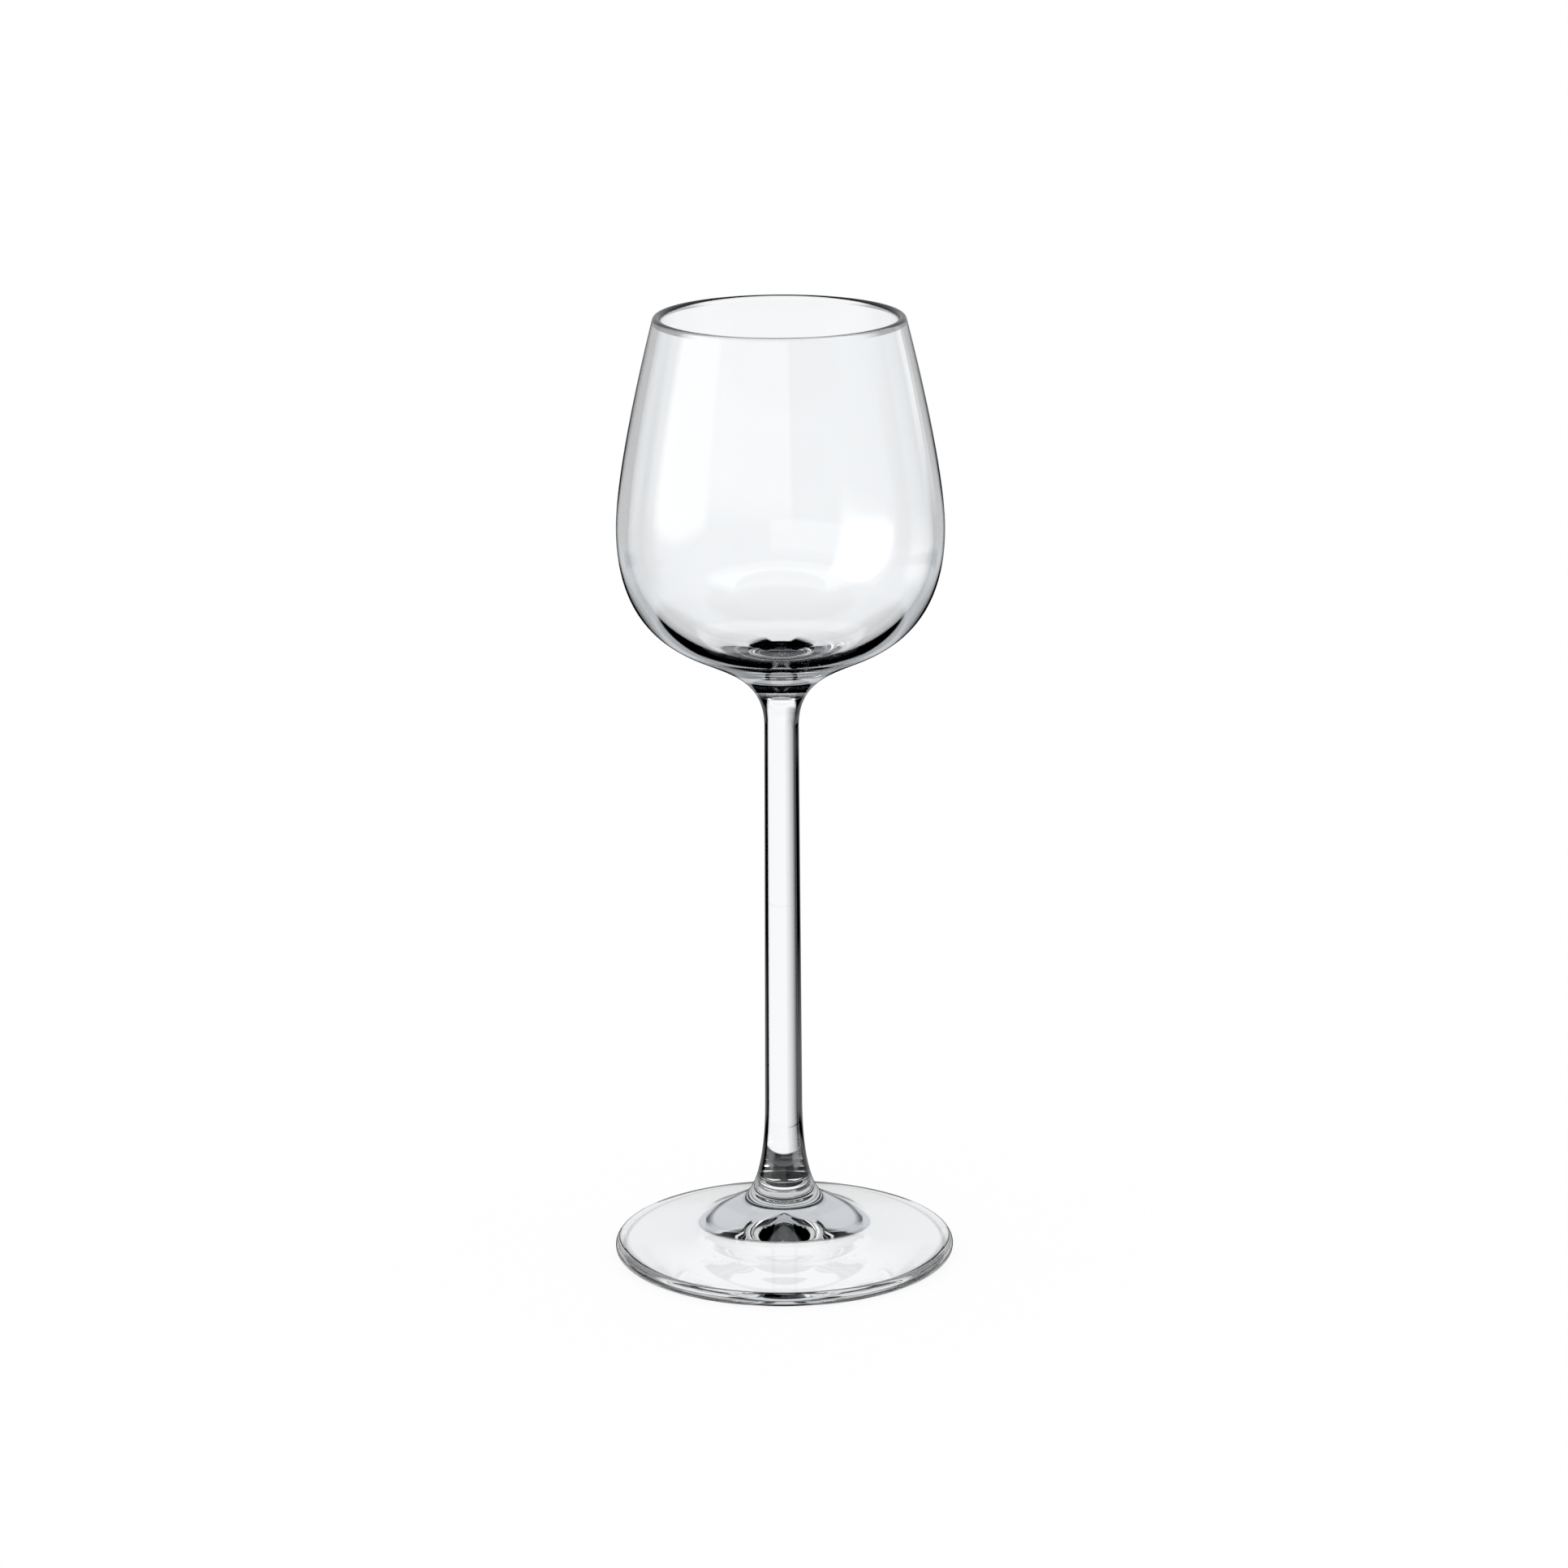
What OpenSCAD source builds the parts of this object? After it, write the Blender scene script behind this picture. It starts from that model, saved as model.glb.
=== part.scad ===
// Grappa glass: a blown bowl on a drawn stem and a pressed foot, fused at two welds.
// The origin is at the middle of the foot's resting face, with +Z up. Lengths are in millimetres.

/* [Foot] */
// Width across the foot
foot_d = 64.2; // [50:0.1:80]
// Height of the foot's rounded edge
foot_edge_h = 2.8; // [2:0.1:4]
// Width of the level ring that the glass rests on
rest_ring_w = 1.4; // [1:0.1:3]
// Reach of the round between the resting ring and the underside
ring_round = 0.6; // [0.3:0.1:0.8]
// Slope of the underside between the resting ring and the hollow, in degrees
under_slope = 8.2; // [4:0.1:11]
// Width at which the hollow leaves the underside's slope
hollow_d = 31.6; // [24:0.1:36]
// Rise of the hollow under the foot's middle
hollow_h = 5.2; // [3.8:0.1:6]
// Reach of the hollow's curve along the underside
hollow_reach = 3.3; // [1:0.1:6]
// Reach of the hollow's curve out from its middle
hollow_flat = 2; // [1:0.1:5]
// Width of the collar where the flare runs out onto the foot's plate
collar_d = 32; // [26:0.1:38]
// Reach of the round between the plate and the collar's cone
collar_round = 1.1; // [0.4:0.1:2]
// Rise of the plate from the top of its edge to the collar
plate_rise = 3.6; // [2:0.1:6]
// Width of the throat where the collar's cone turns up into the flare
throat_d = 16.4; // [14:0.1:20]
// Rise of the cone from the collar to the throat
cone_rise = 4; // [3:0.1:6]
// Rise of the flare from the throat to the straight stem
foot_flare_h = 19.6; // [14:0.1:28]
// Reach of the flare's curve along the cone
foot_flare_reach = 4; // [2:0.1:6]
// Reach of the flare's curve along the stem
foot_flare_draw = 9; // [4:0.1:12]

/* [Stem] */
// Length of the straight stem between its flares
stem_l = 73; // [40:0.5:110]
// Width of the straight stem at its lower end
stem_low_d = 7; // [5:0.1:9]
// Width of the straight stem at its upper end
stem_top_d = 6.4; // [5:0.1:9]
// Share of the lower flare that is drawn with the stem, down to the weld
foot_weld_share = 0.6; // [0.3:0.01:0.8]
// Share of the upper flare that is drawn with the stem, up to the weld
bowl_weld_share = 0.25; // [0.15:0.01:0.5]

/* [Bowl outside] */
// Rise of the flare from the straight stem to the turn under the bowl
bowl_flare_h = 13.9; // [10:0.1:18]
// Reach of the flare's curve along the stem
bowl_flare_draw = 7.9; // [4:0.1:9]
// Width of the turn, where the flare's hollow curve becomes the bowl's full one
turn_d = 33; // [26:0.1:38]
// Slope of the glass at the turn, in degrees above level
turn_slope = 24.7; // [15:0.1:35]
// Reach of the flare's curve at the turn
turn_reach_in = 9; // [5:0.1:11]
// Reach of the bowl's curve at the turn
turn_reach_out = 6.4; // [3:0.1:9]
// Widest width of the bowl
belly_d = 60.5; // [50:0.1:75]
// Rise from the turn to the bowl's widest line
belly_rise = 23.6; // [18:0.1:32]
// Reach of the belly's curve downwards
belly_round_low = 15.9; // [8:0.1:18]
// Reach of the belly's curve upwards
belly_round_high = 10.5; // [6:0.1:16]
// Rise from the bowl's widest line to the rim
rim_rise = 39.5; // [28:0.1:55]
// Width across the rim
rim_d = 46.4; // [38:0.1:56]
// Lean of the wall at the rim, in degrees inwards
rim_lean = 14.4; // [6:0.1:20]
// Reach of the wall's straight run below the rim
rim_reach = 6.6; // [3:0.1:14]

/* [Bowl inside] */
// Wall at the rim, which is rounded to a full lip
rim_wall = 1.5; // [0.9:0.05:2.2]
// Reach of the wall's straight run inside the rim
rim_reach_in = 3; // [2:0.1:10]
// Wall at the belly
belly_wall = 2.1; // [1.4:0.05:3.2]
// Drop of the inside's widest line below the outside's
belly_drop = 1.1; // [0:0.1:3]
// Reach of the inside belly's curve upwards
inside_round_high = 12; // [6:0.1:16]
// Reach of the inside belly's curve downwards
inside_round_low = 15.2; // [8:0.1:17]
// Glass from the weld up to the inside bottom
floor_t = 8.3; // [7:0.1:10]
// Reach of the inside bottom's curve, outwards from the middle
floor_reach = 17.7; // [10:0.1:20]

/* [Hidden] */
$fn = 128;
// Straight steps in each long curve of the outline, round the lip and the foot's edge, and in each eased corner
curve_steps = 18;
round_steps = 12;
ease_steps = 5;
glass_colour = [0.86, 0.91, 0.93, 0.45];

// Unit vector at an angle above level
function heading(a) = [cos(a), sin(a)];

// Unit vector along another one
function unit(v) = v / norm(v);

// One point of a curve with four handles, at t from 0 to 1
function curve_point(c, t) =
    pow(1 - t, 3) * c[0] + 3 * pow(1 - t, 2) * t * c[1] + 3 * (1 - t) * t * t * c[2] + pow(t, 3) * c[3];

// Points of a curve between two values of t, without the first, which the outline already has
function curve_run(c, from = 0, to = 1, steps = curve_steps) =
    [for (i = [1 : steps]) curve_point(c, from + (to - from) * i / steps)];

// Points of an arc between two angles, without the first
function arc_run(centre, r, from, to) =
    [for (i = [1 : round_steps]) centre + r * heading(from + (to - from) * i / round_steps)];

// Handles of the curve that rounds off a corner and leaves each side at this distance from it
function eased(before, corner, after, reach) =
    let (back = reach * unit(before - corner), on = reach * unit(after - corner))
    [corner + back, corner + 0.45 * back, corner + 0.45 * on, corner + on];

// Main points of the outside, from the foot up
edge_r = foot_edge_h / 2;
edge_centre = [foot_d / 2 - edge_r, edge_r];
collar = [collar_d / 2, foot_edge_h + plate_rise];
throat = [throat_d / 2, collar.y + cone_rise];
stem_low = [stem_low_d / 2, throat.y + foot_flare_h];
stem_top = [stem_top_d / 2, stem_low.y + stem_l];
turn = [turn_d / 2, stem_top.y + bowl_flare_h];
belly = [belly_d / 2, turn.y + belly_rise];
lip_r = rim_wall / 2;
lip_centre = [rim_d / 2 - lip_r, belly.y + rim_rise - lip_r];

// Flares of the foot and of the bowl, each cut by its weld
foot_flare = [
    stem_low,
    stem_low - [0, foot_flare_draw],
    throat + foot_flare_reach * unit(throat - collar),
    throat
];
bowl_flare = [
    stem_top,
    stem_top + [0, bowl_flare_draw],
    turn - turn_reach_in * heading(turn_slope),
    turn
];
foot_weld = curve_point(foot_flare, foot_weld_share);
bowl_weld = curve_point(bowl_flare, bowl_weld_share);

// Outside of the bowl, from the turn to the lip
rim_outside = lip_centre + lip_r * heading(rim_lean);
wall_heading = heading(90 + rim_lean);
outside_low = [turn, turn + turn_reach_out * heading(turn_slope), belly - [0, belly_round_low], belly];
outside_high = [belly, belly + [0, belly_round_high], rim_outside - rim_reach * wall_heading, rim_outside];

// Inside of the bowl, from the lip to the middle of its floor
rim_inside = lip_centre - lip_r * heading(rim_lean);
inside_belly = belly - [belly_wall, belly_drop];
inside_floor = [0, bowl_weld.y + floor_t];
inside_high = [
    rim_inside,
    rim_inside - rim_reach_in * wall_heading,
    inside_belly + [0, inside_round_high],
    inside_belly
];
inside_low = [
    inside_belly,
    inside_belly - [0, inside_round_low],
    inside_floor + [floor_reach, 0],
    inside_floor
];

// Underside of the foot, from the middle of the hollow out to the resting ring
edge_bottom = edge_centre - [0, edge_r];
ring_inner = edge_bottom - [rest_ring_w, 0];
inward = heading(180 - under_slope);
hollow_edge = ring_inner + inward * (ring_inner.x - hollow_d / 2) / cos(under_slope);
hollow_top = [0, hollow_h];
hollow = [hollow_top, hollow_top + [hollow_flat, 0], hollow_edge + hollow_reach * inward, hollow_edge];
heel = eased(hollow_edge, ring_inner, edge_bottom, ring_round);

// Top of the foot, from its edge, which runs on into the plate without a crease, to the collar
to_collar = collar - edge_centre;
plate_angle = atan2(to_collar.y, to_collar.x) - acos(edge_r / norm(to_collar));
plate_start = edge_centre + edge_r * heading(plate_angle);
neck = eased(plate_start, collar, throat, collar_round);

// Bowl with its graded wall, rounded lip and the button that the stem is welded to
module bowl() {
    color(glass_colour)
    rotate_extrude()
    polygon(concat(
        [[0, bowl_weld.y], bowl_weld],
        curve_run(bowl_flare, bowl_weld_share, 1),
        curve_run(outside_low),
        curve_run(outside_high),
        arc_run(lip_centre, lip_r, rim_lean, rim_lean + 180),
        curve_run(inside_high),
        curve_run(inside_low)
    ));
}

// Solid stem, tapered between the start of its two flares
module stem() {
    color(glass_colour)
    rotate_extrude()
    polygon(concat(
        [[0, foot_weld.y], foot_weld],
        curve_run(foot_flare, foot_weld_share, 0),
        [stem_top],
        curve_run(bowl_flare, 0, bowl_weld_share),
        [[0, bowl_weld.y]]
    ));
}

// Pressed foot: hollow underside, resting ring, rounded edge, sloping plate, collar cone and flare
module foot() {
    color(glass_colour)
    rotate_extrude()
    polygon(concat(
        [hollow_top],
        curve_run(hollow),
        [heel[0]],
        curve_run(heel, steps = ease_steps),
        [edge_bottom],
        arc_run(edge_centre, edge_r, -90, plate_angle),
        [neck[0]],
        curve_run(neck, steps = ease_steps),
        [throat],
        curve_run(foot_flare, 1, foot_weld_share),
        [[0, foot_weld.y]]
    ));
}

bowl();
stem();
foot();
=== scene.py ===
"""Grappa glass of clear crystal: a blown bowl on a drawn stem and a pressed foot, fused at two welds."""
import math

import bmesh
import bpy
from bpy.props import FloatProperty, PointerProperty, StringProperty
from mathutils import Matrix, Vector
from mathutils.geometry import interpolate_bezier


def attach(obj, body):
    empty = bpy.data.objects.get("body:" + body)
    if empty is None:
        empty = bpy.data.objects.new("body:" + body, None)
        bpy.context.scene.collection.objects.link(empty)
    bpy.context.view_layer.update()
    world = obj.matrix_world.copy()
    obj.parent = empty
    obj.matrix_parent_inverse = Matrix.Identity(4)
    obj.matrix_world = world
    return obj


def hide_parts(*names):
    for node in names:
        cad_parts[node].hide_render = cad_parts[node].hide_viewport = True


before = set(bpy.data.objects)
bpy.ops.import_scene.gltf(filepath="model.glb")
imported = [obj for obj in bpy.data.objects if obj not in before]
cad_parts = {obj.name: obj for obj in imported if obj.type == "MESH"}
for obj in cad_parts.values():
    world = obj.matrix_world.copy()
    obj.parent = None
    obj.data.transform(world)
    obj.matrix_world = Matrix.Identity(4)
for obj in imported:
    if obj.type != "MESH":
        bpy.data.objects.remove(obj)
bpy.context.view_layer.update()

bl_info = {
    "name": "Grappa Glass",
    "version": (1, 0, 0),
    "blender": (4, 5, 0),
    "location": "3D View > Sidebar > Glass",
    "description": "Builds a stemmed grappa glass and the studio that it stands in",
    "category": "Add Mesh",
}

MM = 0.001
BODY = "root"

# Steps round a wedge of the glass, and the times that it is doubled to go all round
WEDGE_STEPS = 9
DOUBLINGS = 5
# Steps along each curve of the outline, along its straight runs and small rounds, and round a studio sheet
CURVE_STEPS = 60
ROUND_STEPS = 24
SHEET_STEPS = 96
# Share of the way from a corner to the ends of its round at which the round's inner handles lie
EASE = 0.45
# Points nearer than this are one point, and edges bent by more than this angle stay sharp
MERGE = 0.2e-6
SHARP = math.radians(35)
# Place of the seam in each piece's list of materials
SEAM = 1
# Width of the camera's frame in millimetres, and how far it sees in metres
FRAME_WIDTH = 36
CLIP_END = 20
# Times that light may bounce, because it meets many walls of glass before it leaves
BOUNCES = 12
# Plain white and plain black
WHITE = "#FFFFFF"
BLACK = "#000000"


def length(name, mm, text):
    """A size in metres with its default given in millimetres."""
    return FloatProperty(name=name, description=text, default=mm * MM, unit="LENGTH", precision=5)


def angle(name, degrees, text):
    """An angle with its default given in degrees."""
    return FloatProperty(name=name, description=text, default=math.radians(degrees), subtype="ANGLE")


def factor(name, value, text):
    """A share or a strength from nothing upwards."""
    return FloatProperty(name=name, description=text, default=value, min=0.0)


def colour(name, code, text):
    """A colour kept as an sRGB hex value."""
    return StringProperty(name=name, description=text, default=code)


def linear(code):
    """Linear RGBA of an sRGB hex value."""
    shares = [int(code[i:i + 2], 16) / 255 for i in (1, 3, 5)]
    return [s / 12.92 if s <= 0.04045 else ((s + 0.055) / 1.055) ** 2.4 for s in shares] + [1.0]


class GlassSizes(bpy.types.PropertyGroup):
    """Sizes of the bowl, the stem and the foot."""

    foot_d: length("Foot width", 64.2, "Width across the foot")
    foot_edge_h: length("Foot edge", 2.8, "Height of the foot's rounded edge")
    rest_ring_w: length("Resting ring", 1.4, "Width of the level ring that the glass rests on")
    ring_round: length("Ring round", 0.6, "Reach of the round between the ring and the underside")
    under_slope: angle("Underside slope", 8.2, "Slope of the underside between the ring and the hollow")
    collar_d: length("Collar width", 32, "Width of the ring where the cone meets the foot's plate")
    collar_round: length("Collar round", 1.1, "Reach of the round between the plate and the cone")
    plate_rise: length("Plate rise", 3.6, "Rise of the plate from the top of its edge to the collar")
    throat_d: length("Throat width", 16.4, "Width where the collar's cone turns up into the flare")
    cone_rise: length("Cone rise", 4, "Rise of the cone from the collar to the throat")
    foot_flare_h: length("Foot flare", 19.6, "Rise of the flare from the throat to the straight stem")
    foot_flare_reach: length("Foot flare reach", 4, "Reach of the flare's curve along the cone")
    foot_flare_draw: length("Foot flare draw", 9, "Reach of the flare's curve along the stem")
    hollow_d: length("Hollow width", 31.6, "Width at which the hollow leaves the underside's slope")
    hollow_reach: length("Hollow reach", 3.3, "Reach of the hollow's curve along the underside's slope")
    hollow_flat: length("Hollow flat", 2, "Reach of the hollow's curve out from its middle")
    hollow_h: length("Hollow rise", 5.2, "Rise of the hollow under the foot's middle")

    stem_l: length("Stem length", 73, "Length of the straight stem between its flares")
    stem_low_d: length("Stem width, low", 7, "Width of the straight stem at its lower end")
    stem_top_d: length("Stem width, top", 6.4, "Width of the straight stem at its upper end")
    foot_weld_share: factor("Foot weld", 0.6, "Share of the lower flare that is drawn with the stem")
    bowl_weld_share: factor("Bowl weld", 0.25, "Share of the upper flare that is drawn with the stem")

    bowl_flare_h: length("Bowl flare", 13.9, "Rise of the flare from the stem to the turn under the bowl")
    bowl_flare_draw: length("Bowl flare draw", 7.9, "Reach of the flare's curve along the stem")
    turn_d: length("Turn width", 33, "Width where the flare's hollow curve becomes the bowl's full one")
    turn_slope: angle("Turn slope", 24.7, "Slope of the glass at the turn, above level")
    turn_reach_in: length("Turn reach, in", 9, "Reach of the flare's curve at the turn")
    turn_reach_out: length("Turn reach, out", 6.4, "Reach of the bowl's curve at the turn")
    belly_d: length("Belly width", 60.5, "Widest width of the bowl")
    belly_rise: length("Belly rise", 23.6, "Rise from the turn to the bowl's widest line")
    belly_round_low: length("Belly round, low", 15.9, "Reach of the belly's curve downwards")
    belly_round_high: length("Belly round, high", 10.5, "Reach of the belly's curve upwards")
    rim_rise: length("Rim rise", 39.5, "Rise from the bowl's widest line to the rim")
    rim_d: length("Rim width", 46.4, "Width across the rim")
    rim_lean: angle("Rim lean", 14.4, "Lean of the wall at the rim, inwards")
    rim_reach: length("Rim reach", 6.6, "Reach of the wall's straight run below the rim")
    rim_wall: length("Rim wall", 1.5, "Wall at the rim, which is rounded to a full lip")
    rim_reach_in: length("Inside rim reach", 3, "Reach of the wall's straight run inside the rim")
    belly_wall: length("Belly wall", 2.1, "Wall at the belly")
    belly_drop: length("Inside belly drop", 1.1, "Drop of the inside's widest line below the outside's")
    inside_round_low: length("Inside round, low", 15.2, "Reach of the inside belly's curve downwards")
    inside_round_high: length("Inside round, high", 12, "Reach of the inside belly's curve upwards")
    floor_t: length("Bowl floor", 8.3, "Glass from the weld up to the inside bottom")
    floor_reach: length("Floor reach", 17.7, "Reach of the inside bottom's curve out from the middle")


class GlassFinish(bpy.types.PropertyGroup):
    """Look of the clear crystal, and of the painted shade and painted dark reflections in its colour."""

    tint: colour("Tint", "#FDFEFF", "Colour that the glass gives to what is seen through it")
    ior: factor("IOR", 1.5, "How far the glass bends light")
    # Painted shade: the glass's own colour goes dark at a slender stem's edges, between these turns from
    # the eye and below these radii
    edge_start: factor("Edge start", 0.35, "Turn from the eye at which a slender stem starts to go dark")
    edge_full: factor("Edge full", 0.44, "Turn from the eye at which its edge is dark")
    slender: length("Slender", 4.6, "Radius below which the stem has dark edges")
    wide: length("Wide", 7, "Radius above which the flares have none")
    # Painted dark reflections: lines in the glass's own colour on the foot's rounded edge and on the lip
    bead_r: length("Bead", 31, "Radius from which the foot's rounded edge has dark lines")
    bead_painted_darkness: factor("Bead lines", 0.85, "Darkness of those lines")
    lip_z: length("Lip", 178.9, "Height from which the rim's rounded lip has a dark line")
    lip_painted_darkness: factor("Lip line", 0.75, "Darkness of that line")


class StudioSettings(bpy.types.PropertyGroup):
    """Floor, light and camera of the studio."""

    floor_r: length("Floor radius", 6000, "Radius of the floor")
    floor_colour: colour("Floor colour", "#FFFFFF", "Colour of the floor")
    floor_glow: factor("Floor glow", 0.9, "Share of the floor's white that is its own")
    wall_colour: colour("Wall colour", "#CFD2D5", "Colour of the wall behind it in what it mirrors")
    deep_colour: colour("Deep colour", "#30353A", "Colour of the walls after many mirrorings")
    side_colour: colour("Side colour", "#AEB1B4", "Colour of the other walls in what it mirrors")
    camera_back: length("Camera distance", 952, "Distance of the camera in front of the glass")
    camera_h: length("Camera height", 349.9, "Height of the camera above the floor")
    camera_pitch: angle("Camera pitch", 15.17, "Angle that the camera looks down by")
    camera_yaw: angle("Camera yaw", 0.0235, "Angle that the camera is turned to the right by")
    camera_roll: angle("Camera roll", 0.314, "Angle that the camera is tipped to the right by")
    lens: FloatProperty(name="Lens", description="Focal length on a 36 mm frame", default=121.63)


def heading(slope):
    """Unit vector in the outline's plane at an angle above level."""
    return Vector((math.cos(slope), math.sin(slope)))


def arc(centre, radius, start, end):
    """Points of an arc between two angles."""
    sweep = (end - start) / ROUND_STEPS
    return [centre + radius * heading(start + sweep * i) for i in range(ROUND_STEPS + 1)]


def curve(*handles):
    """Points of the curve with these four handles."""
    return interpolate_bezier(*handles, CURVE_STEPS + 1)


def run(start, end):
    """Points of a straight run."""
    return [start.lerp(end, i / ROUND_STEPS) for i in range(ROUND_STEPS + 1)]


def ease(before, corner, after, reach):
    """Curve that rounds off a corner and leaves each side at this distance from it."""
    back = reach * (before - corner).normalized()
    on = reach * (after - corner).normalized()
    return curve(corner + back, corner + EASE * back, corner + EASE * on, corner + on)


def lower_flare(s):
    """The collar's point, and the curve from the straight stem down to the throat."""
    collar = Vector((s.collar_d / 2, s.foot_edge_h + s.plate_rise))
    throat = Vector((s.throat_d / 2, collar.y + s.cone_rise))
    low = Vector((s.stem_low_d / 2, throat.y + s.foot_flare_h))
    cone = (throat - collar).normalized()
    above = throat + s.foot_flare_reach * cone
    return collar, curve(low, low - Vector((0, s.foot_flare_draw)), above, throat)


def upper_flare(s):
    """Curve from the straight stem up to the turn under the bowl."""
    start = lower_flare(s)[1][0].y
    top = Vector((s.stem_top_d / 2, start + s.stem_l))
    turn = Vector((s.turn_d / 2, top.y + s.bowl_flare_h))
    along = heading(s.turn_slope)
    return curve(top, top + Vector((0, s.bowl_flare_draw)), turn - s.turn_reach_in * along, turn)


def cut(points, share):
    """The two lengths of a curve on either side of a weld."""
    at = round(share * CURVE_STEPS)
    return points[:at + 1], points[at:]


def foot_outline(s):
    """Outline of the foot from the middle of its hollow, round its edge and up to the weld."""
    collar, flare = lower_flare(s)
    throat = flare[-1]
    edge_r = s.foot_edge_h / 2
    centre = Vector((s.foot_d / 2 - edge_r, edge_r))
    away = collar - centre
    # The plate runs on from the edge's round without a crease
    plate = math.atan2(away.y, away.x) - math.acos(edge_r / away.length)
    edge = arc(centre, edge_r, -math.pi / 2, plate)
    ring = Vector((centre.x - s.rest_ring_w, 0))
    inward = Vector((-math.cos(s.under_slope), math.sin(s.under_slope)))
    leave = ring + inward * (ring.x - s.hollow_d / 2) / math.cos(s.under_slope)
    middle = Vector((0, s.hollow_h))
    hollow = curve(middle, middle + Vector((s.hollow_flat, 0)), leave + s.hollow_reach * inward, leave)
    heel = ease(leave, ring, edge[0], s.ring_round)
    neck = ease(edge[-1], collar, throat, s.collar_round)
    under = hollow + run(leave, heel[0]) + heel + run(heel[-1], edge[0])
    over = run(edge[-1], neck[0]) + neck + run(neck[-1], throat)
    pressed = cut(flare, s.foot_weld_share)[1]
    return under + edge + over + pressed[::-1] + [Vector((0, pressed[0].y))]


def stem_outline(s):
    """Outline of the stem between its two welds."""
    low = cut(lower_flare(s)[1], s.foot_weld_share)[0][::-1]
    top = cut(upper_flare(s), s.bowl_weld_share)[0]
    return [Vector((0, low[0].y))] + low + run(low[-1], top[0]) + top + [Vector((0, top[-1].y))]


def bowl_outline(s):
    """Outline of the bowl from the weld up its outside, over the lip and down to its floor."""
    flare = cut(upper_flare(s), s.bowl_weld_share)[1]
    turn = flare[-1]
    belly = Vector((s.belly_d / 2, turn.y + s.belly_rise))
    lip_r = s.rim_wall / 2
    lip = Vector((s.rim_d / 2 - lip_r, belly.y + s.rim_rise - lip_r))
    across = lip_r * heading(s.rim_lean)
    down = -heading(s.rim_lean + math.pi / 2)
    inside = belly - Vector((s.belly_wall, s.belly_drop))
    floor = Vector((0, flare[0].y + s.floor_t))
    outside_low = curve(
        turn,
        turn + s.turn_reach_out * heading(s.turn_slope),
        belly - Vector((0, s.belly_round_low)),
        belly,
    )
    outside_high = curve(
        belly,
        belly + Vector((0, s.belly_round_high)),
        lip + across + s.rim_reach * down,
        lip + across,
    )
    rim = arc(lip, lip_r, s.rim_lean, s.rim_lean + math.pi)
    inside_high = curve(
        lip - across,
        lip - across + s.rim_reach_in * down,
        inside + Vector((0, s.inside_round_high)),
        inside,
    )
    inside_low = curve(
        inside,
        inside - Vector((0, s.inside_round_low)),
        floor + Vector((s.floor_reach, 0)),
        floor,
    )
    weld = [Vector((0, flare[0].y))]
    return weld + flare + outside_low + outside_high + rim + inside_high + inside_low


# Sockets of a Mix node that blends colours, its setting for that, and the setting of a rise without a kink
SHARE, FIRST, SECOND = 0, 6, 7
COLOURS = {"data_type": "RGBA"}
SMOOTH = {"interpolation_type": "SMOOTHSTEP"}


def node(tree, kind, links=(), **settings):
    """Add a node with its settings, and set its sockets or link nodes to them, in order or by key."""
    made = tree.nodes.new(kind)
    for name, value in settings.items():
        setattr(made, name, value)
    for socket, source in links.items() if isinstance(links, dict) else enumerate(links):
        if isinstance(source, bpy.types.Node):
            source = next(output for output in source.outputs if output.enabled)
        if isinstance(source, bpy.types.NodeSocket):
            tree.links.new(source, made.inputs[socket])
        else:
            made.inputs[socket].default_value = source
    return made


def empty_material(name):
    """Material without nodes, and its tree."""
    material = bpy.data.materials.new(name)
    material.use_nodes = True
    material.node_tree.nodes.clear()
    return material, material.node_tree


def from_axis(tree, place):
    """Level part of a place, and its distance from the glass's axis."""
    level = node(tree, "ShaderNodeVectorMath", (place, (1, 1, 0)), operation="MULTIPLY")
    return level, node(tree, "ShaderNodeVectorMath", (level,), operation="LENGTH")


def bearing(tree, place):
    """Azimuth of a place or way in degrees, from straight behind the glass to the right, and its height."""
    split = node(tree, "ShaderNodeSeparateXYZ", (place,))
    turn = node(tree, "ShaderNodeMath", (split.outputs["X"], split.outputs["Y"]), operation="ARCTAN2")
    return node(tree, "ShaderNodeMath", (turn,), operation="DEGREES"), split.outputs["Z"]


# Turn from the eye, from 0 facing it to 1 edge on, over which the painted dark lines on the glass come and
# go
SIDE_ENDS = (0.6, 0.45)
BEAD_LINE_COMES = (0.26, 0.32)
BEAD_LINE_GOES = (0.62, 0.54)
BEAD_RIM_COMES = (0.74, 0.84)
LIP_LINE_COMES = (0.2, 0.4)
# Half of the width over which the bead's and the lip's painted dark lines set in
LINE_SOFT = 0.1 * MM


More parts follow.
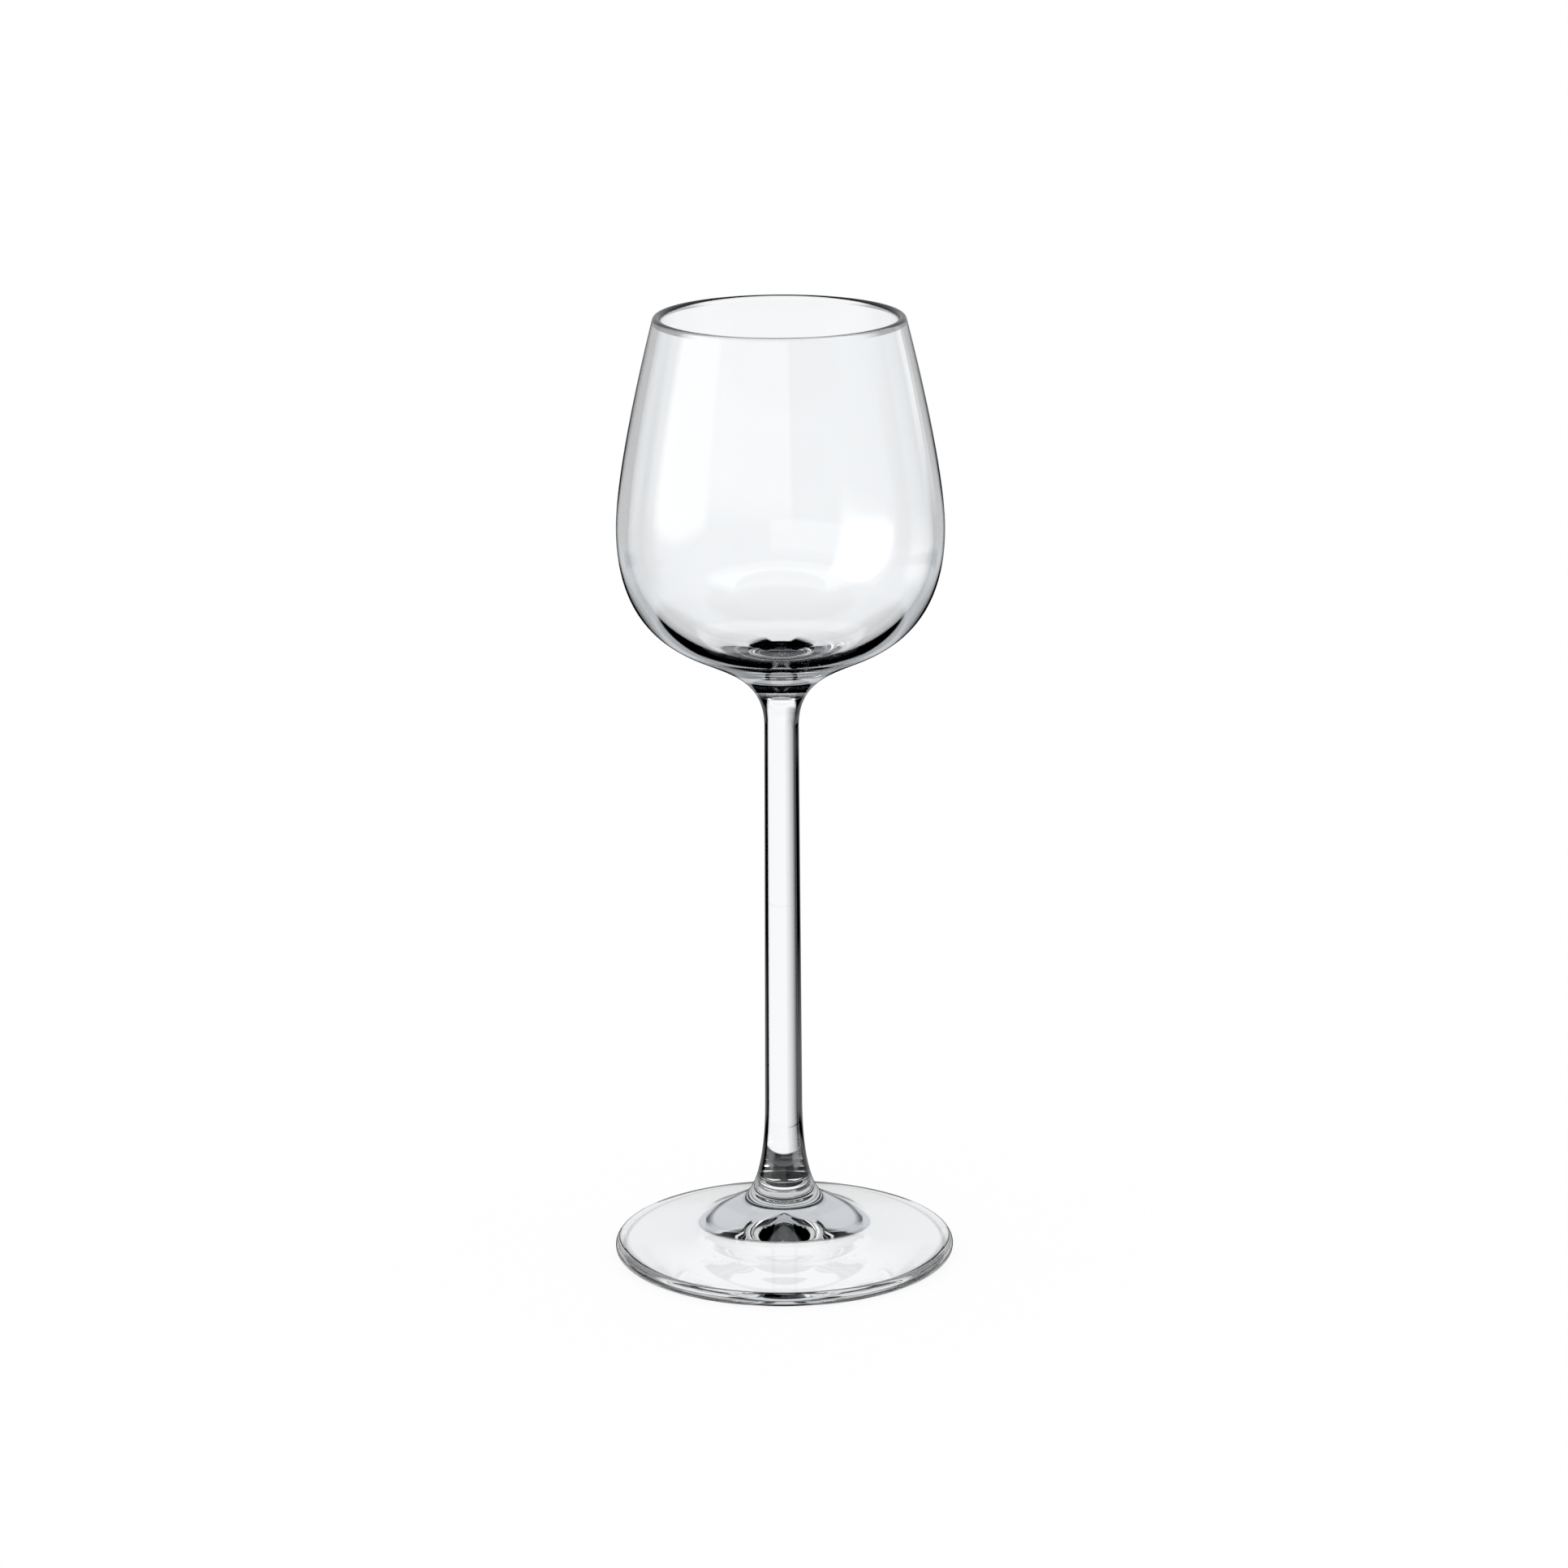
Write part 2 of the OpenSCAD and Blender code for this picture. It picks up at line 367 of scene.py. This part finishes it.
def clear_crystal(finish):
    """Lead-free crystal, blown and fire polished: clear and colourless, with a mirror-smooth skin; its
    colour carries painted shade at the stem's edges and painted dark reflections on the foot's edge and the
    lip.
    """
    material, tree = empty_material("clear_crystal")
    place = node(tree, "ShaderNodeTexCoord").outputs["Object"]
    level, radius = from_axis(tree, place)
    height = node(tree, "ShaderNodeSeparateXYZ", (place,)).outputs["Z"]
    facing = node(tree, "ShaderNodeLayerWeight").outputs["Facing"]
    # Painted shade: a slender solid stem bends the light at its two sides so far round that they see no
    # bright wall, and that darkness is painted into the glass's colour at its edges
    slender = node(tree, "ShaderNodeMapRange", (radius, finish.wide, finish.slender), **SMOOTH)
    edge = node(tree, "ShaderNodeMapRange", (facing, finish.edge_start, finish.edge_full), **SMOOTH)
    side = node(tree, "ShaderNodeVectorMath", ((0, 0, 1), level), operation="CROSS_PRODUCT")
    side = node(tree, "ShaderNodeVectorMath", (side,), operation="NORMALIZE")
    side = node(
        tree,
        "ShaderNodeVectorTransform",
        (side,),
        vector_type="VECTOR",
        convert_from="OBJECT",
        convert_to="WORLD",
    )
    side = node(tree, "ShaderNodeLayerWeight", {"Normal": side}).outputs["Facing"]
    side = node(tree, "ShaderNodeMapRange", (side, *SIDE_ENDS), **SMOOTH)
    # The foot's rounded edge gathers light from all over, in lines that follow it; the dark ones are
    # painted reflections, put into the glass's own colour
    bead_start = (finish.bead_r - LINE_SOFT, finish.bead_r + LINE_SOFT)
    bead = node(tree, "ShaderNodeMapRange", (radius, *bead_start), **SMOOTH)
    comes = node(tree, "ShaderNodeMapRange", (facing, *BEAD_LINE_COMES), **SMOOTH)
    goes = node(tree, "ShaderNodeMapRange", (facing, *BEAD_LINE_GOES), **SMOOTH)
    rim = node(tree, "ShaderNodeMapRange", (facing, *BEAD_RIM_COMES), **SMOOTH)
    bead_painted_lines = node(tree, "ShaderNodeMath", (comes, goes, rim), operation="MULTIPLY_ADD")
    # So does the rounded lip, and its dark line is a painted reflection in the glass's own colour
    lip_start = (finish.lip_z - LINE_SOFT, finish.lip_z + LINE_SOFT)
    lip = node(tree, "ShaderNodeMapRange", (height, *lip_start), **SMOOTH)
    lip_painted_line = node(tree, "ShaderNodeMapRange", (facing, *LIP_LINE_COMES), **SMOOTH)
    # Painted shade: the strongest of the three painted marks darkens the glass's colour towards black
    dark = 0.0
    for shares in (
        (slender, edge, side),
        (bead, bead_painted_lines, finish.bead_painted_darkness),
        (lip, lip_painted_line, finish.lip_painted_darkness),
    ):
        line = 1.0
        for share in shares:
            line = node(tree, "ShaderNodeMath", (line, share), operation="MULTIPLY")
        dark = node(tree, "ShaderNodeMath", (dark, line), operation="MAXIMUM")
    blend = {SHARE: dark, FIRST: linear(finish.tint), SECOND: linear(BLACK)}
    shader = node(
        tree,
        "ShaderNodeBsdfPrincipled",
        {
            "Base Color": node(tree, "ShaderNodeMix", blend, **COLOURS),
            "Roughness": 0.0,
            "IOR": finish.ior,
            "Transmission Weight": 1.0,
        },
    )
    node(tree, "ShaderNodeOutputMaterial", (shader,))
    return material


def fused_seam():
    """Glass inside a weld, where the two pieces ran together and no surface is left to see."""
    material, tree = empty_material("fused_seam")
    shader = node(tree, "ShaderNodeBsdfPrincipled", {"Alpha": 0.0})
    node(tree, "ShaderNodeOutputMaterial", (shader,))
    return material


def glass_materials():
    """The glass and its seam, made once and shared by the three pieces."""
    crystal = bpy.data.materials.get("clear_crystal") or clear_crystal(bpy.context.scene.glass_finish)
    seam = bpy.data.materials.get("fused_seam") or fused_seam()
    return crystal, seam


def revolve(name, outline):
    """Spin an outline into a closed piece of glass, with its flat weld faces marked as seams."""
    form = bmesh.new()
    kept = [outline[0]]
    for point in outline[1:]:
        if (point - kept[-1]).length > MERGE:
            kept.append(point)
    verts = [form.verts.new((p.x, 0, p.y)) for p in kept]
    edges = [form.edges.new(pair) for pair in zip(verts, verts[1:])]
    wedge = math.tau / 2 ** DOUBLINGS
    bmesh.ops.spin(form, geom=verts + edges, axis=(0, 0, 1), cent=(0, 0, 0), angle=wedge, steps=WEDGE_STEPS)
    for _ in range(DOUBLINGS):
        copy = bmesh.ops.duplicate(form, geom=form.verts[:] + form.edges[:] + form.faces[:])["geom"]
        turned = [v for v in copy if isinstance(v, bmesh.types.BMVert)]
        bmesh.ops.rotate(form, verts=turned, cent=(0, 0, 0), matrix=Matrix.Rotation(wedge, 3, "Z"))
        wedge *= 2
    bmesh.ops.remove_doubles(form, verts=form.verts, dist=MERGE)
    bmesh.ops.recalc_face_normals(form, faces=form.faces)
    for pole in (v for v in form.verts if v.co.xy.length < MERGE):
        level = all(abs(v.co.z - pole.co.z) < MERGE for face in pole.link_faces for v in face.verts)
        if level:
            for face in pole.link_faces:
                face.material_index = SEAM
    mesh = bpy.data.meshes.new(name)
    form.to_mesh(mesh)
    form.free()
    mesh.shade_smooth()
    mesh.set_sharp_from_angle(angle=SHARP)
    for material in glass_materials():
        mesh.materials.append(material)
    piece = bpy.data.objects.new(name, mesh)
    bpy.context.scene.collection.objects.link(piece)
    return piece


class GLASS_OT_bowl(bpy.types.Operator):
    """Bowl with its graded wall, rounded lip and the button that the stem is welded to"""

    bl_idname = "glass.bowl"
    bl_label = "Bowl"

    def execute(self, context):
        piece = revolve("blown_bowl", bowl_outline(context.scene.glass_sizes))
        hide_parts("bowl")
        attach(piece, BODY)
        return {"FINISHED"}


class GLASS_OT_stem(bpy.types.Operator):
    """Solid drawn stem between its two welds"""

    bl_idname = "glass.stem"
    bl_label = "Stem"

    def execute(self, context):
        piece = revolve("drawn_stem", stem_outline(context.scene.glass_sizes))
        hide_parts("stem")
        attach(piece, BODY)
        return {"FINISHED"}


class GLASS_OT_foot(bpy.types.Operator):
    """Pressed foot with its rounded edge, sloping plate, collar cone and flare"""

    bl_idname = "glass.foot"
    bl_label = "Foot"

    def execute(self, context):
        piece = revolve("pressed_foot", foot_outline(context.scene.glass_sizes))
        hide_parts("foot")
        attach(piece, BODY)
        return {"FINISHED"}


# All ways round, and all heights or radii. A span of this many degrees or millimetres or more has no ends.
ROUND = (-180, 180)
ALL = (-500, 500)
OPEN = 360


def patch(tree, ways, box, soft):
    """Mask of what lies in a box with soft edges, from the lowest and highest value along each way."""
    mask = 1.0
    for way, low, high, edge in zip(ways, box[::2], box[1::2], soft):
        if high - low < OPEN:
            half = (high - low) / 2
            away = node(tree, "ShaderNodeMath", (way, (low + high) / 2), operation="SUBTRACT")
            away = node(tree, "ShaderNodeMath", (away,), operation="ABSOLUTE")
            inside = node(tree, "ShaderNodeMapRange", (away, half + edge / 2, half - edge / 2))
            mask = node(tree, "ShaderNodeMath", (mask, inside), operation="MULTIPLY")
    return mask


def panel(tree, ways, corners, soft):
    """Mask of the directions inside a light panel, from its corners' azimuth and elevation."""
    mask = 1.0
    for first, second in zip(corners, corners[1:] + corners[:1]):
        side = (Vector(second) - Vector(first)).normalized()
        depth = node(tree, "ShaderNodeMath", (ways[0], -side.y), operation="MULTIPLY")
        depth = node(tree, "ShaderNodeMath", (ways[1], side.x, depth), operation="MULTIPLY_ADD")
        edge = first[1] * side.x - first[0] * side.y
        inside = node(tree, "ShaderNodeMapRange", (depth, edge - soft / 2, edge + soft / 2))
        mask = node(tree, "ShaderNodeMath", (mask, inside), operation="MULTIPLY")
    return mask


# Wall behind the glass: its lowest and highest azimuth, and its soft edge
BACK_WALL = (-46, 46)
BACK_WALL_SOFT = 30
# Parts of the studio: the lowest and highest azimuth and elevation and the soft edge of each, in degrees,
# and the brightness. A twin is the same on the left and on the right.
TWINS = {"twin": patch, "twin panel": panel}
# Floor and ceiling seen straight through one wall of glass, and the ceiling seen through two
LOW_END = (patch, ROUND + (-90, -43.5), (0, 1.5), 0.0)
HIGH_END = (patch, ROUND + (34, 90), (0, 4), 0.0)
HIGH_END_TWO = (patch, ROUND + (21, 90), (0, 3), 0.0)
# Horizon, a card, a flag and the floor, in all that the glass mirrors
WALLS = (
    (patch, (-60, 60, -11, 4), (30, 4), 0.56),
    (patch, (50, 78, -24, -10), (8, 6), 1.0),
    (patch, (-80, -58, -26, 3), (6, 8), 0.0),
    (patch, ROUND + (-90, -37.5), (0, 2), 0.0),
    ("twin", (12, 348, -90, -35), (6, 2), 0.0),
)
# Mirrored inside one wall of glass, and what a second time there adds
ONE_WALL = (
    ("twin", (28, 66, -80, -54), (6, 2), 1.0),
    ("twin panel", ((10, 26), (13.4, 18), (27, 18), (27, 37), (10, 37)), 2, 0.0),
)
TWICE = (("twin", (84, 152, 0, 45), (6, 3), 0.0), ("twin", (140, 220, 0, 28), (6, 3), 0.0))
# Mirrored once or twice, through two walls of glass or more
TWO_WALLS = (
    (patch, (-30, 30, 5, 27), (8, 5), 0.0),
    (patch, (-100, 100, 50, 76), (8, 4), 0.0),
    ("twin", (100, 260, 36, 62), (6, 4), 1.8),
    (patch, ROUND + (68, 90), (0, 4), 0.0),
)
# Mirrored three times
THRICE = (
    (patch, (-90, 90, 40, 58), (8, 2), 0.0),
    (patch, ROUND + (64, 90), (0, 4), 0.0),
    (patch, (-40, 40, -60, -24), (8, 4), 0.0),
)
# Mirrored on the skin of the glass, and what is added where the light has crossed glass before
OUTSIDE = (
    (patch, (-90, -36, -17.2, -14.2), (6, 1.2), 0.0),
    (patch, (34, 95, -17.2, -14.2), (6, 1.2), 0.0),
    (patch, (-20, 20, -24, -8), (6, 4), 0.0),
    (patch, ROUND + (50, 90), (0, 6), 0.0),
    ("twin", (80, 280, -59, -50), (8, 3), 1.0),
)
BEHIND = (patch, (-20, 20, -24, 8), (6, 4), 0.0)
# Lights of the studio: corners going anticlockwise, soft edge, brightness
LOW_SOFTBOX = (panel, ((-126, -1), (-104, -7), (-81, -7), (-81, 14), (-126, 14)), 4, 1.7)
SOFTBOX = (panel, ((-126, -1), (-104, -7), (-81, -7), (-81, 36), (-126, 36)), 4, 1.7)
SCREEN = (
    (panel, ((-181, 2), (-126, 2), (-126, 26), (-181, 26)), 3, 1.1),
    (panel, ((172, 2), (181, 2), (181, 26), (172, 26)), 3, 1.1),
)
WINDOW = (
    (panel, ((134, 2), (95, -4), (98, -14), (120, -24.5), (145.5, -16.5)), 4, 2.0),
    (panel, ((37, -7), (47, -7), (47, 0), (37, 0)), 4, 1.3),
)


def studio_world(studio):
    """White wall seen through the glass, and grey walls with lights and flags in what it mirrors."""
    world = bpy.data.worlds.new("studio")
    world.use_nodes = True
    tree = world.node_tree
    tree.nodes.clear()
    path = node(tree, "ShaderNodeLightPath")
    azimuth, height = bearing(tree, node(tree, "ShaderNodeTexCoord").outputs["Generated"])
    either_side = node(tree, "ShaderNodeMath", (azimuth,), operation="ABSOLUTE")
    elevation = node(tree, "ShaderNodeMath", (height,), operation="ARCSINE")
    elevation = node(tree, "ShaderNodeMath", (elevation,), operation="DEGREES")
    masks = {}

    def around(seen, *parts):
        """Lay parts of the studio over what is seen so far."""
        for part in parts:
            kind, shape, soft, level = part
            if part not in masks:
                ways = (either_side if kind in TWINS else azimuth, elevation)
                masks[part] = TWINS.get(kind, kind)(tree, ways, shape, soft)
            blend = {SHARE: masks[part], FIRST: seen, SECOND: (level, level, level, 1)}
            seen = node(tree, "ShaderNodeMix", blend, **COLOURS)
        return seen

    def by_path(count, most, seen, beyond):
        """What light sees while this count of its path is so much at most, and what it sees beyond that."""
        past = node(tree, "ShaderNodeMath", (path.outputs[count], most), operation="GREATER_THAN")
        return node(tree, "ShaderNodeMix", {SHARE: past, FIRST: seen, SECOND: beyond}, **COLOURS)

    white = linear(WHITE)
    black = linear(BLACK)
    back = patch(tree, (azimuth,), BACK_WALL, (BACK_WALL_SOFT,))
    blend = {SHARE: back, FIRST: linear(studio.side_colour), SECOND: linear(studio.wall_colour)}
    walls = around(node(tree, "ShaderNodeMix", blend, **COLOURS), *WALLS)
    # One wall of glass has two surfaces
    straight = around(white, LOW_END, HIGH_END)
    straight = by_path("Transmission Depth", 2, straight, around(white, HIGH_END_TWO))
    once = around(walls, *ONE_WALL, LOW_SOFTBOX, *SCREEN, *WINDOW)
    once = by_path("Glossy Depth", 1, once, around(once, *TWICE))
    once = by_path("Transmission Depth", 2, once, around(walls, *TWO_WALLS, SOFTBOX, *SCREEN))
    thrice = around(walls, *THRICE, LOW_SOFTBOX, *WINDOW)
    often = around(linear(studio.deep_colour), SOFTBOX, *SCREEN)
    often_one_wall = by_path("Glossy Depth", 4, around(black, SOFTBOX, *SCREEN), black)
    often = by_path("Transmission Depth", 2, often_one_wall, often)
    outside = around(walls, *OUTSIDE, SOFTBOX, *SCREEN, *WINDOW)
    outside = by_path("Transmission Depth", 0, outside, around(outside, BEHIND))
    seen = by_path("Glossy Depth", 0, straight, once)
    seen = by_path("Glossy Depth", 2, seen, thrice)
    seen = by_path("Glossy Depth", 3, seen, often)
    seen = by_path("Is Transmission Ray", 0, white, seen)
    seen = by_path("Is Reflection Ray", 0, seen, outside)
    seen = by_path("Is Diffuse Ray", 0, seen, white)
    light = node(tree, "ShaderNodeBackground", {"Color": seen})
    node(tree, "ShaderNodeOutputWorld", (light,))
    # The studio is even enough to be met by chance, which is quicker than aiming at it
    world.cycles.sampling_method = "NONE"
    bpy.context.scene.world = world


def turned_sheet(name, start, end, material):
    """Sheet of the studio: a line between two points, each a radius and a height, turned about the axis."""
    form = bmesh.new()
    ends = [form.verts.new((radius, 0, height)) for radius, height in (start, end)]
    line = form.edges.new(ends)
    bmesh.ops.spin(
        form,
        geom=ends + [line],
        axis=(0, 0, 1),
        cent=(0, 0, 0),
        angle=math.tau,
        steps=SHEET_STEPS,
        use_merge=True,
    )
    bmesh.ops.remove_doubles(form, verts=form.verts, dist=MERGE)
    mesh = bpy.data.meshes.new(name)
    form.to_mesh(mesh)
    form.free()
    mesh.materials.append(material)
    sheet = bpy.data.objects.new(name, mesh)
    bpy.context.scene.collection.objects.link(sheet)
    return sheet


# Times that light has been mirrored, or surfaces of the glass that it has crossed: the fewest and the most
ANY = 99
STRAIGHT = (0, 0)
OFTEN = (6, ANY)
ONE = (1, 2)
TWO = (3, 4)
MORE = (3, ANY)
# Cards near the glass that only show through it: the radius and height of both ends, and what they show.
# That is how often the light was mirrored and what it crossed, the lowest and highest azimuth, height and
# radius and the soft edge of each, in degrees and millimetres, and the brightness.
CARDS = {
    "sheet": ((0, -0.5), (230, -0.5), (
        (STRAIGHT, ONE, ROUND + ALL + (-29.5, 29.5), (0, 0, 1), 1.0),
        (STRAIGHT, ONE, ROUND + ALL + (34, 230), (0, 0, 1), 1.0),
        (STRAIGHT, ONE, (-51, -21) + ALL + (34, 62), (30, 0, 1), 0.0),
        (STRAIGHT, TWO, ROUND + ALL + (-32, 32), (0, 0, 1), 0.0),
        (OFTEN, ONE, ROUND + ALL + (20, 42), (0, 0, 1), 0.8),
    )),
    "foot_ring": ((42, -0.4), (42, 48), (
        (OFTEN, ONE, ROUND + ALL + ALL, (0, 0, 0), 0.8),
    )),
    "stem_flag": ((60, -0.4), (60, 122), (
        (STRAIGHT, ONE, (-51, -21, -100, 116) + ALL, (30, 8, 0), 0.0),
    )),
    "bowl_flag": ((4, 100), (17.5, 100), (
        (STRAIGHT, MORE, ROUND + ALL + ALL, (0, 0, 0), 0.0),
    )),
}


def studio_card(name, start, end, views):
    """Card near the glass that only shows to some of the light that has come through it."""
    material, tree = empty_material(name)
    path = node(tree, "ShaderNodeLightPath")
    place = node(tree, "ShaderNodeTexCoord").outputs["Object"]
    azimuth, height = bearing(tree, place)
    radius = from_axis(tree, place)[1]
    height_mm = node(tree, "ShaderNodeMath", (height, MM), operation="DIVIDE")
    radius_mm = node(tree, "ShaderNodeMath", (radius, MM), operation="DIVIDE")
    shown = 0.0
    bright = linear(BLACK)
    for mirrored, crossed, box, soft, level in views:
        mask = patch(tree, (azimuth, height_mm, radius_mm), box, soft)
        for depth, (fewest, most) in (("Glossy Depth", mirrored), ("Transmission Depth", crossed)):
            for operation, bound in (("GREATER_THAN", fewest - 1), ("LESS_THAN", most + 1)):
                met = node(tree, "ShaderNodeMath", (path.outputs[depth], bound), operation=operation)
                mask = node(tree, "ShaderNodeMath", (mask, met), operation="MULTIPLY")
        shown = node(tree, "ShaderNodeMath", (shown, mask), operation="MAXIMUM")
        blend = {SHARE: mask, FIRST: bright, SECOND: (level, level, level, 1)}
        bright = node(tree, "ShaderNodeMix", blend, **COLOURS)
    glow = node(tree, "ShaderNodeEmission", {"Color": bright})
    clear = node(tree, "ShaderNodeBsdfTransparent")
    both = node(tree, "ShaderNodeMixShader", (shown, clear, glow))
    node(tree, "ShaderNodeOutputMaterial", (both,))
    ends = [[MM * value for value in point] for point in (start, end)]
    card = turned_sheet(name, *ends, material)
    card.visible_camera = False
    card.visible_diffuse = False
    card.visible_glossy = False
    card.visible_shadow = False


def studio_floor(studio):
    """Plain white floor that mostly glows by itself and keeps a faint shadow."""
    material, tree = empty_material("white_floor")
    own = linear(studio.floor_colour)
    shade = [share * (1 - studio.floor_glow) for share in own[:3]] + [1]
    lit = node(tree, "ShaderNodeBsdfDiffuse", {"Color": shade})
    glow = node(tree, "ShaderNodeEmission", {"Color": own, "Strength": studio.floor_glow})
    both = node(tree, "ShaderNodeAddShader", (lit, glow))
    node(tree, "ShaderNodeOutputMaterial", (both,))
    floor = turned_sheet("floor", (0, 0), (studio.floor_r, 0), material)
    # The glass shows the studio's walls instead of the floor
    floor.visible_glossy = False
    floor.visible_transmission = False


def studio_camera(studio):
    """Camera at the height, distance and angle that the glass is looked at from."""
    data = bpy.data.cameras.new("camera")
    data.lens = studio.lens
    data.sensor_width = FRAME_WIDTH
    data.clip_end = CLIP_END
    camera = bpy.data.objects.new("camera", data)
    bpy.context.scene.collection.objects.link(camera)
    turn = Matrix.Rotation(-studio.camera_yaw, 4, "Z")
    tilt = Matrix.Rotation(math.pi / 2 - studio.camera_pitch, 4, "X")
    tip = Matrix.Rotation(-studio.camera_roll, 4, "Z")
    place = Matrix.Translation((0, -studio.camera_back, studio.camera_h))
    camera.matrix_world = place @ turn @ tilt @ tip
    bpy.context.scene.camera = camera


class GLASS_OT_studio(bpy.types.Operator):
    """Floor, surroundings, light and camera"""

    bl_idname = "glass.studio"
    bl_label = "Studio"

    def execute(self, context):
        scene = context.scene
        studio_world(scene.glass_studio)
        studio_floor(scene.glass_studio)
        for name, card in CARDS.items():
            studio_card(name, *card)
        studio_camera(scene.glass_studio)
        scene.view_settings.view_transform = "Standard"
        scene.cycles.max_bounces = BOUNCES
        scene.cycles.glossy_bounces = BOUNCES
        scene.cycles.transmission_bounces = BOUNCES
        scene.cycles.transparent_max_bounces = BOUNCES
        return {"FINISHED"}


class GLASS_PT_panel(bpy.types.Panel):
    """Buttons that make the glass and its studio"""

    bl_idname = "GLASS_PT_panel"
    bl_label = "Grappa Glass"
    bl_space_type = "VIEW_3D"
    bl_region_type = "UI"
    bl_category = "Glass"

    def draw(self, context):
        for operator in OPERATORS:
            self.layout.operator(operator.bl_idname)
        for group in (context.scene.glass_sizes, context.scene.glass_finish, context.scene.glass_studio):
            for name in group.__annotations__:
                self.layout.prop(group, name)


OPERATORS = (GLASS_OT_bowl, GLASS_OT_stem, GLASS_OT_foot, GLASS_OT_studio)
CLASSES = (GlassSizes, GlassFinish, StudioSettings) + OPERATORS + (GLASS_PT_panel,)


def register():
    """Add the classes, and their settings to each scene."""
    for cls in CLASSES:
        bpy.utils.register_class(cls)
    bpy.types.Scene.glass_sizes = PointerProperty(type=GlassSizes)
    bpy.types.Scene.glass_finish = PointerProperty(type=GlassFinish)
    bpy.types.Scene.glass_studio = PointerProperty(type=StudioSettings)


def unregister():
    """Take the settings and the classes away again."""
    del bpy.types.Scene.glass_studio
    del bpy.types.Scene.glass_finish
    del bpy.types.Scene.glass_sizes
    for cls in reversed(CLASSES):
        bpy.utils.unregister_class(cls)


def main():
    """Make the glass and its studio."""
    register()
    bpy.ops.glass.bowl()
    bpy.ops.glass.stem()
    bpy.ops.glass.foot()
    bpy.ops.glass.studio()


if __name__ == "__main__":
    main()
